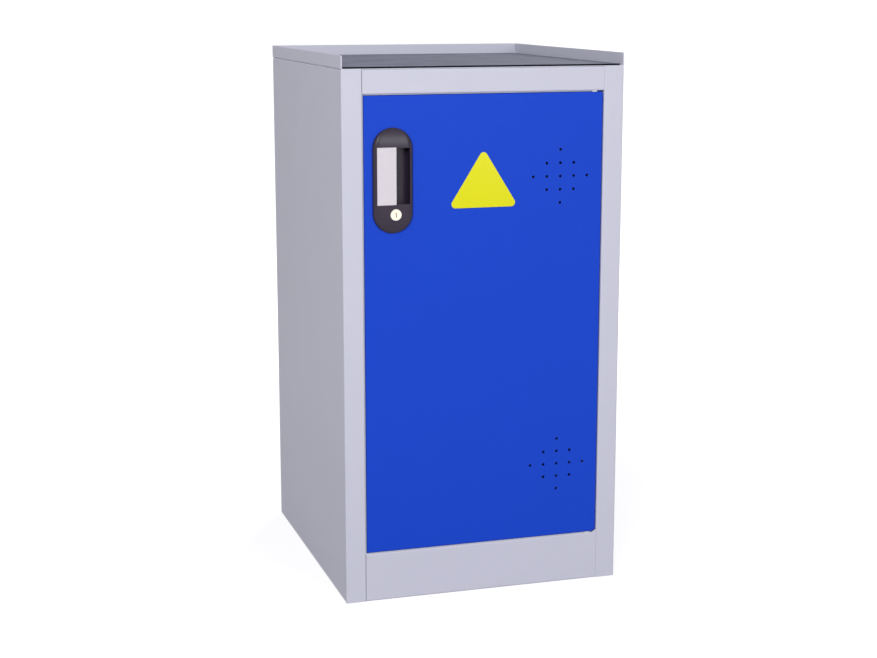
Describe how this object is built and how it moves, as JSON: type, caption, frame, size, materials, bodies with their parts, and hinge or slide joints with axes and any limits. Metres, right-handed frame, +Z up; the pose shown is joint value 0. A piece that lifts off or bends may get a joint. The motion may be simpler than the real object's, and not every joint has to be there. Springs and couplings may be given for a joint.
{
  "type": "fireproof safety cabinet",
  "caption": "Free-standing insulated steel cabinet with a blue hinged door, moulded pull handle with card holder and cam lock, tray shelves over a sump, and a rimmed worktop with a mat.",
  "frame": {"origin": "The centre of the footprint on the floor, midway between the back panel and the lock's face", "axes": "+Z is up, the door faces -Y, +X is to the right of someone who looks at the door"},
  "size_m": [0.5, 0.5612, 0.94],
  "materials": {
    "paint_grey": "satin",
    "paint_blue": "satin",
    "zinc": "satin",
    "board": "matte",
    "mat_rubber": "matte",
    "seal_rubber": "matte",
    "handle_plastic": "satin",
    "nylon": "satin",
    "card": "matte",
    "clear_cover": "gloss",
    "lock_nickel": "polished"
  },
  "bodies": {
    "cabinet": {"side_panel_left": "paint_grey", "side_panel_right": "paint_grey", "back_panel": "paint_grey", "base_panel": "paint_grey", "top_rail": "paint_grey", "bottom_rail": "paint_grey", "worktop_tray": "paint_grey", "worktop_mat": "mat_rubber", "liner_left": "paint_grey", "liner_right": "paint_grey", "liner_back": "paint_grey", "liner_top": "paint_grey", "sump_pan": "paint_grey", "insulation_left": "board", "insulation_right": "board", "insulation_back": "board", "insulation_top": "board", "insulation_base": "board", "shelf_uprights": "zinc", "shelf_clips": "zinc", "lower_shelf": "zinc", "upper_shelf": "zinc", "door_seal": "seal_rubber", "lock_keeper": "zinc", "lower_hinge_bush": "nylon", "upper_hinge_bush": "nylon"},
    "door": {"door_skin": "paint_blue", "door_liner": "paint_grey", "door_insulation": "board", "lower_hinge_bracket": "zinc", "upper_hinge_bracket": "zinc", "lower_hinge_pin": "zinc", "upper_hinge_pin": "zinc", "handle_moulding": "handle_plastic", "handle_screws": "zinc", "name_card": "card", "card_cover": "clear_cover", "lock_body": "lock_nickel", "lock_nut": "zinc"},
    "lock": {"lock_plug": "lock_nickel", "lock_cam": "zinc", "cam_screw": "zinc"}
  },
  "joints": [
    {"name": "door_hinge", "type": "hinge", "parent": "cabinet", "child": "door", "pos_m": [0.1975, -0.2624, 0], "axis": [0, 0, 1], "range_deg": [0, 110]},
    {"name": "lock_turn", "type": "hinge", "parent": "door", "child": "lock", "pos_m": [-0.1601, -0.2806, 0.6767], "axis": [0, 1, 0], "range_deg": [0, 90]}
  ]
}
